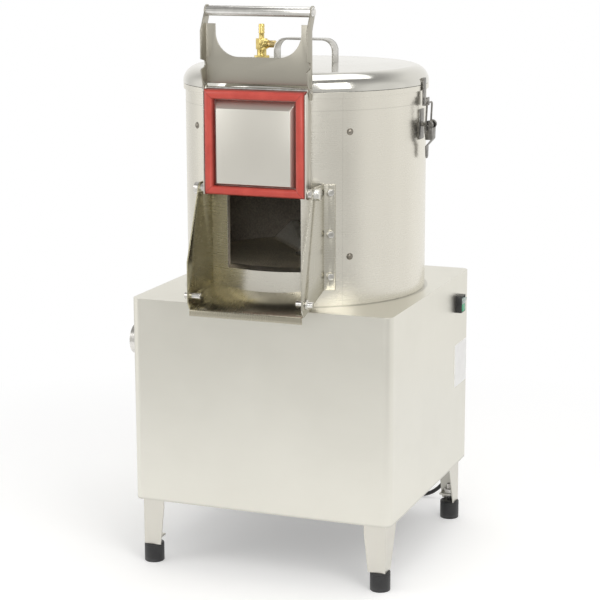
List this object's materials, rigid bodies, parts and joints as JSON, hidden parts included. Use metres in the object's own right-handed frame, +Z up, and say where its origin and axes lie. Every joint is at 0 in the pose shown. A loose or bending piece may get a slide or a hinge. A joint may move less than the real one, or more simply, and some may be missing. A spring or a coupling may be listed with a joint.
{
  "type": "potato_peeler_machine",
  "caption": "Free-standing catering potato peeler: round steel drum with lid, discharge chute and swing-up door on a square cabinet with belt drive",
  "frame": {"origin": "on the floor, midway between the four feet, under the drum's axis", "axes": "+Z up along the drum's axis, -Y to the front with the chute and the door, +X to the viewer's right when facing the chute"},
  "size_m": [0.5146, 0.6642, 0.9172],
  "materials": {
    "stainless": "warm satin stainless sheet, finely brushed",
    "bright_steel": "bright turned steel",
    "frame_steel": "dark grey painted steel",
    "cast_grey": "grey cast iron",
    "motor_paint": "grey-blue motor paint",
    "abrasive": "coarse bonded grit",
    "red_rubber": "soft red silicone",
    "black_rubber": "black rubber",
    "brass": "pale machined brass",
    "brass_dark": "machined brass",
    "black_plastic": "black moulded plastic",
    "green_plastic": "green moulded plastic",
    "plate_white": "blank white foil plate",
    "cord_sheath": "black flexible sheath"
  },
  "bodies": {
    "body": {"cabinet_shell": "stainless", "rear_cover": "stainless", "rear_cover_screws": "bright_steel", "leg_front_left": "stainless", "leg_front_right": "stainless", "leg_rear_left": "stainless", "leg_rear_right": "stainless", "rubber_feet": "black_rubber", "foot_bolts": "bright_steel", "base_frame": "frame_steel", "cross_beams": "frame_steel", "bearing_plate": "frame_steel", "sump_pan": "stainless", "drain_spout": "stainless", "drum_wall": "stainless", "abrasive_liner": "abrasive", "liner_screws": "bright_steel", "chute_side_left": "stainless", "chute_side_right": "stainless", "chute_tray": "stainless", "chute_bolts": "bright_steel", "latch_pins": "bright_steel", "door_pivot_bolts": "bright_steel", "door_pivot_bushes": "bright_steel", "lid_hinge_brackets": "stainless", "lid_hinge_pins": "bright_steel", "latch_base": "stainless", "shaft_seal": "black_rubber", "bearing_housing": "cast_grey", "shaft_bearings": "bright_steel", "drive_belt": "black_rubber", "motor": "motor_paint", "motor_bracket": "frame_steel", "switch_housing": "black_plastic", "rating_plate": "plate_white", "cable_gland": "black_plastic", "cord_run": "cord_sheath", "cord_coil": "cord_sheath", "mains_plug": "black_plastic"},
    "door": {"door_pan": "stainless", "door_plug": "stainless", "door_gasket": "red_rubber"},
    "lever_pivot": {"lever_rod": "bright_steel"},
    "lever": {"locking_lever": "stainless", "lever_handle_bar": "bright_steel"},
    "lid": {"lid_shell": "stainless", "lid_seal": "black_rubber", "lid_handle": "stainless", "lid_hinge_arms": "stainless", "latch_catch": "stainless", "valve_body": "brass"},
    "valve": {"valve_spindle": "brass_dark"},
    "latch": {"latch_lever": "stainless"},
    "bail": {"latch_bail": "bright_steel"},
    "rotor": {"peeling_disc": "abrasive", "disc_bolt": "bright_steel", "drive_shaft": "bright_steel", "driven_pulley": "cast_grey"},
    "motor_rotor": {"motor_pulley": "cast_grey"},
    "rocker": {"switch_rocker": "green_plastic"}
  },
  "joints": [
    {"name": "door_hinge", "type": "hinge", "parent": "body", "child": "door", "pos_m": [0, -0.2137, 0.6327], "axis": [1, 0, 0], "range_deg": [0, 180]},
    {"name": "lever_swing", "type": "hinge", "parent": "door", "child": "lever_pivot", "pos_m": [0, -0.2114, 0.7898], "axis": [1, 0, 0], "range_deg": [-120, 0]},
    {"name": "lever_hinge", "type": "hinge", "parent": "lever_pivot", "child": "lever", "pos_m": [0, -0.2114, 0.7898], "axis": [1, 0, 0], "range_deg": [0, 35]},
    {"name": "lid_hinge", "type": "hinge", "parent": "body", "child": "lid", "pos_m": [0, 0.209, 0.797], "axis": [-1, 0, 0], "range_deg": [0, 95]},
    {"name": "valve_turn", "type": "hinge", "parent": "lid", "child": "valve", "pos_m": [-0.092, 0.034, 0.841], "axis": [1, 0, 0], "range_deg": [0, 90]},
    {"name": "latch_hinge", "type": "hinge", "parent": "body", "child": "latch", "pos_m": [0.214, 0, 0.722], "axis": [0, -1, 0], "range_deg": [0, 150]},
    {"name": "bail_hinge", "type": "hinge", "parent": "latch", "child": "bail", "pos_m": [0.2095, 0, 0.714], "axis": [0, -1, 0], "range_deg": [-150, 0]},
    {"name": "disc_spin", "type": "hinge", "parent": "body", "child": "rotor", "pos_m": [0, 0, 0.3], "axis": [0, 0, 1], "continuous": true},
    {"name": "motor_spin", "type": "hinge", "parent": "body", "child": "motor_rotor", "pos_m": [0, 0.125, 0.17], "axis": [0, 0, 1], "continuous": true},
    {"name": "rocker_tilt", "type": "hinge", "parent": "body", "child": "rocker", "pos_m": [0.222, 0.146, 0.4], "axis": [0, -1, 0], "range_deg": [0, 12]}
  ],
  "couplings": [
    {"joint": "lever_swing", "follows": "door_hinge", "ratio": -0.665},
    {"joint": "bail_hinge", "follows": "latch_hinge", "ratio": -1},
    {"joint": "motor_spin", "follows": "disc_spin", "ratio": 3}
  ]
}
